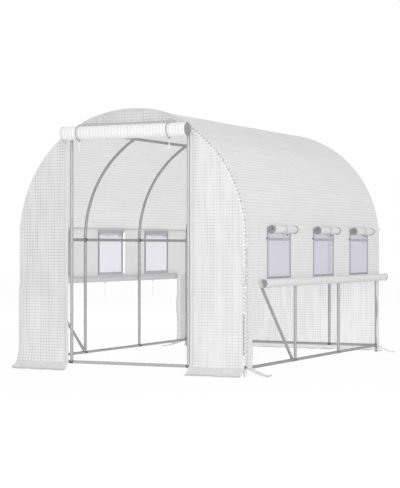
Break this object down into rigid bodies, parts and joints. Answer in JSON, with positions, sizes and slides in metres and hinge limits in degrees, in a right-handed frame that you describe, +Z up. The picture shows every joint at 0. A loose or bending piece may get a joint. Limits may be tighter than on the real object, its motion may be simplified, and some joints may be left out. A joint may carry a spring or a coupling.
{
  "type": "polytunnel greenhouse",
  "caption": "Walk-in polytunnel greenhouse: a round-topped tube frame under a woven film cover, with a roll-up door, roll-up sides and netted windows with roll-up flaps.",
  "frame": {"origin": "middle of the plan, on the ground", "axes": "+X to the right seen from the front, +Y from the door towards the rear wall, +Z up"},
  "size_m": [2.3332, 3.2432, 2.0483],
  "materials": {
    "galvanised_tube": "galvanised",
    "woven_film": "translucent woven film",
    "window_net": "fine insect net",
    "tie_tape": "woven tape"
  },
  "bodies": {
    "root": {"front_arch_legs": "galvanised_tube", "front_arch_bow": "galvanised_tube", "second_arch_legs": "galvanised_tube", "second_arch_bow": "galvanised_tube", "third_arch_legs": "galvanised_tube", "third_arch_bow": "galvanised_tube", "rear_arch_legs": "galvanised_tube", "rear_arch_bow": "galvanised_tube", "left_base_rail": "galvanised_tube", "right_base_rail": "galvanised_tube", "front_base_rail": "galvanised_tube", "rear_base_rail": "galvanised_tube", "shoulder_purlins": "galvanised_tube", "roof_purlins": "galvanised_tube", "door_posts": "galvanised_tube", "rear_posts": "galvanised_tube", "side_braces": "galvanised_tube", "roof_right_lower": "woven_film", "roof_right_upper": "woven_film", "roof_crown": "woven_film", "roof_left_upper": "woven_film", "roof_left_lower": "woven_film", "right_window_band": "woven_film", "left_window_band": "woven_film", "left_corner_strips": "woven_film", "right_corner_strips": "woven_film", "front_left_panel": "woven_film", "front_right_panel": "woven_film", "front_lunette": "woven_film", "rear_wall": "woven_film", "front_skirts": "woven_film", "rear_skirt": "woven_film", "side_skirts": "woven_film", "door_roll": "woven_film", "right_side_roll": "woven_film", "left_side_roll": "woven_film", "left_window_rolls": "woven_film", "right_window_rolls": "woven_film", "right_window_nets": "window_net", "left_window_nets": "window_net", "door_roll_ties": "tie_tape", "side_roll_ties": "tie_tape", "window_roll_ties": "tie_tape", "door_tie_tails": "tie_tape", "side_tie_tails": "tie_tape", "window_tie_tails": "tie_tape"}
  },
  "joints": []
}
